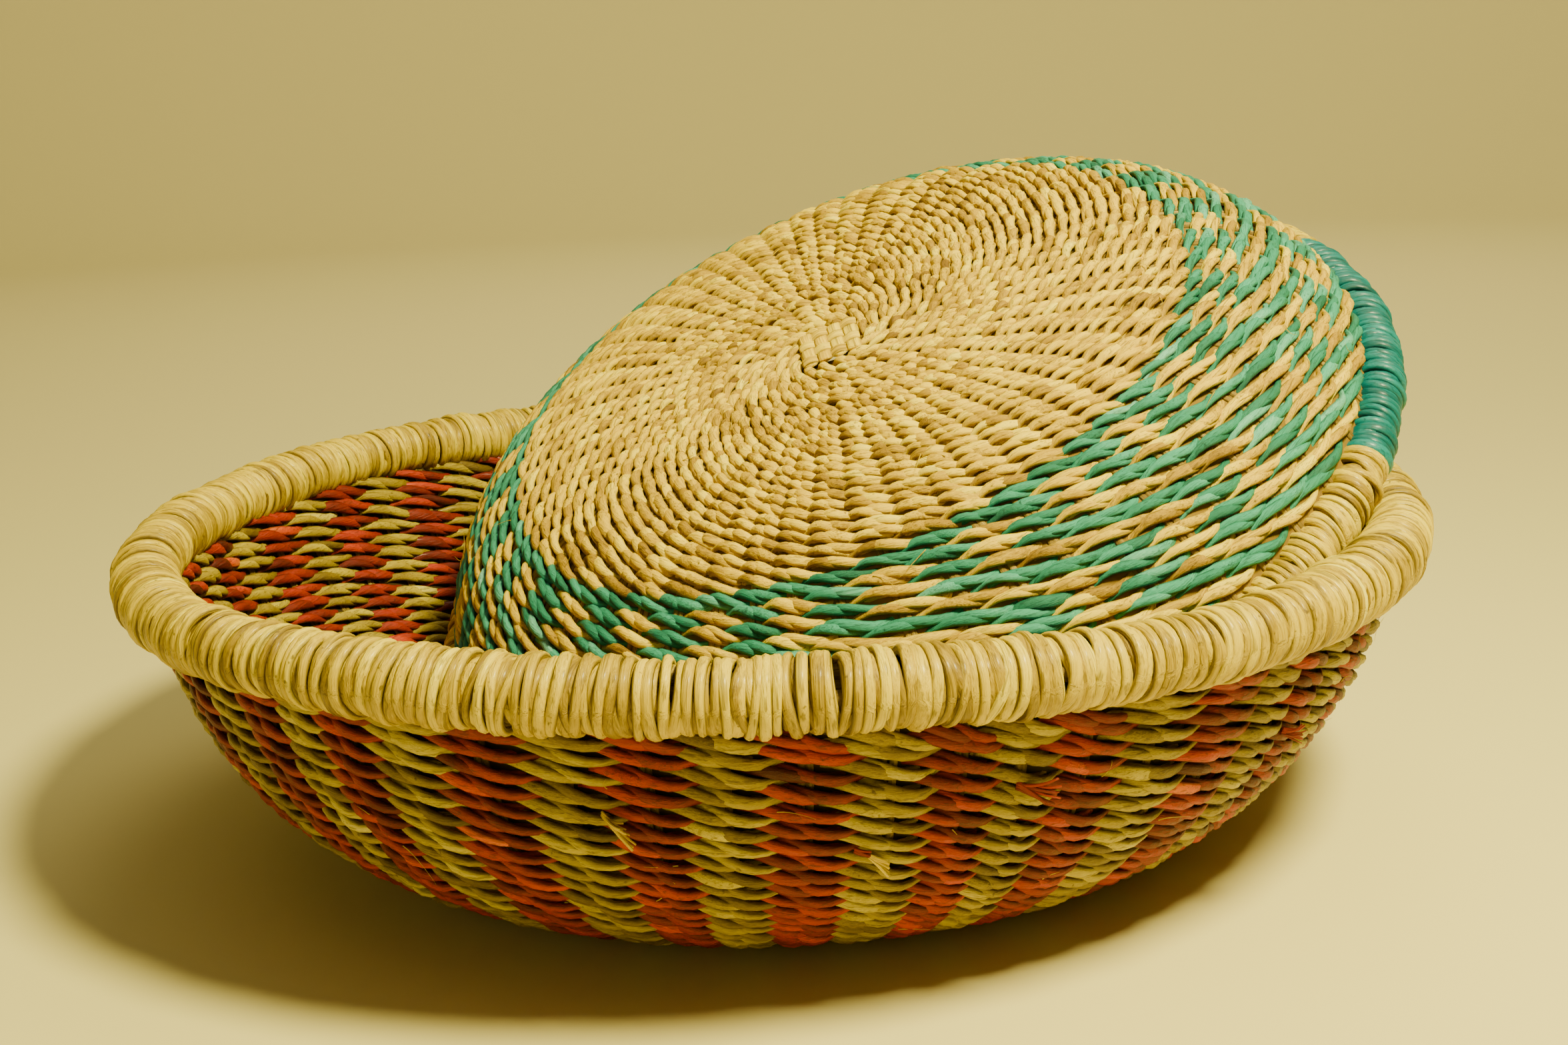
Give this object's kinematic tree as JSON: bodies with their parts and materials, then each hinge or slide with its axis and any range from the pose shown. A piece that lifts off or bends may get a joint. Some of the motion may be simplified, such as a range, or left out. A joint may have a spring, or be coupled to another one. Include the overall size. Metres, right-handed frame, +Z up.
{
  "type": "woven basket with bowl cover",
  "caption": "Round twined-grass basket with a wrapped rim, and a shallower grass bowl turned over in it as a loose, leaning cover.",
  "frame": {"origin": "middle of the basket's foot, on the surface it stands on", "axes": "+Z up, out of the basket's mouth; -Y the side seen in front; the cover leans up towards +X and +Y"},
  "size_m": [0.3612, 0.3612, 0.1781],
  "materials": {
    "natural_grass": "undyed straw-gold grass strands, satin",
    "stake_grass": "bundled grass stakes, dull",
    "orange_grass": "orange-red dyed grass strands, satin",
    "green_grass": "sea-green dyed grass strands, satin",
    "teal_grass": "teal dyed flat grass wrapping, glossy",
    "rim_grass": "undyed flat grass wrapping, glossy"
  },
  "bodies": {
    "basket": {"basket_start_knot": "natural_grass", "basket_stakes": "stake_grass", "basket_floor_weave_outer": "natural_grass", "basket_floor_weave_inner": "natural_grass", "basket_wall_weave_outer": "orange_grass", "basket_wall_weave_inner": "orange_grass", "basket_rim_core": "stake_grass", "basket_rim_wrap": "rim_grass"},
    "cover": {"cover_start_knot": "natural_grass", "cover_stakes": "stake_grass", "cover_crown_weave_outer": "natural_grass", "cover_crown_weave_inner": "natural_grass", "cover_band_weave_outer": "green_grass", "cover_band_weave_inner": "green_grass", "cover_rim_core": "stake_grass", "cover_rim_wrap_natural": "rim_grass", "cover_rim_wrap_teal": "teal_grass"}
  },
  "joints": [
    {"name": "cover_lift", "type": "slide", "parent": "basket", "child": "cover", "axis": [0, 0, 1], "range_m": [0, 0.13]}
  ]
}
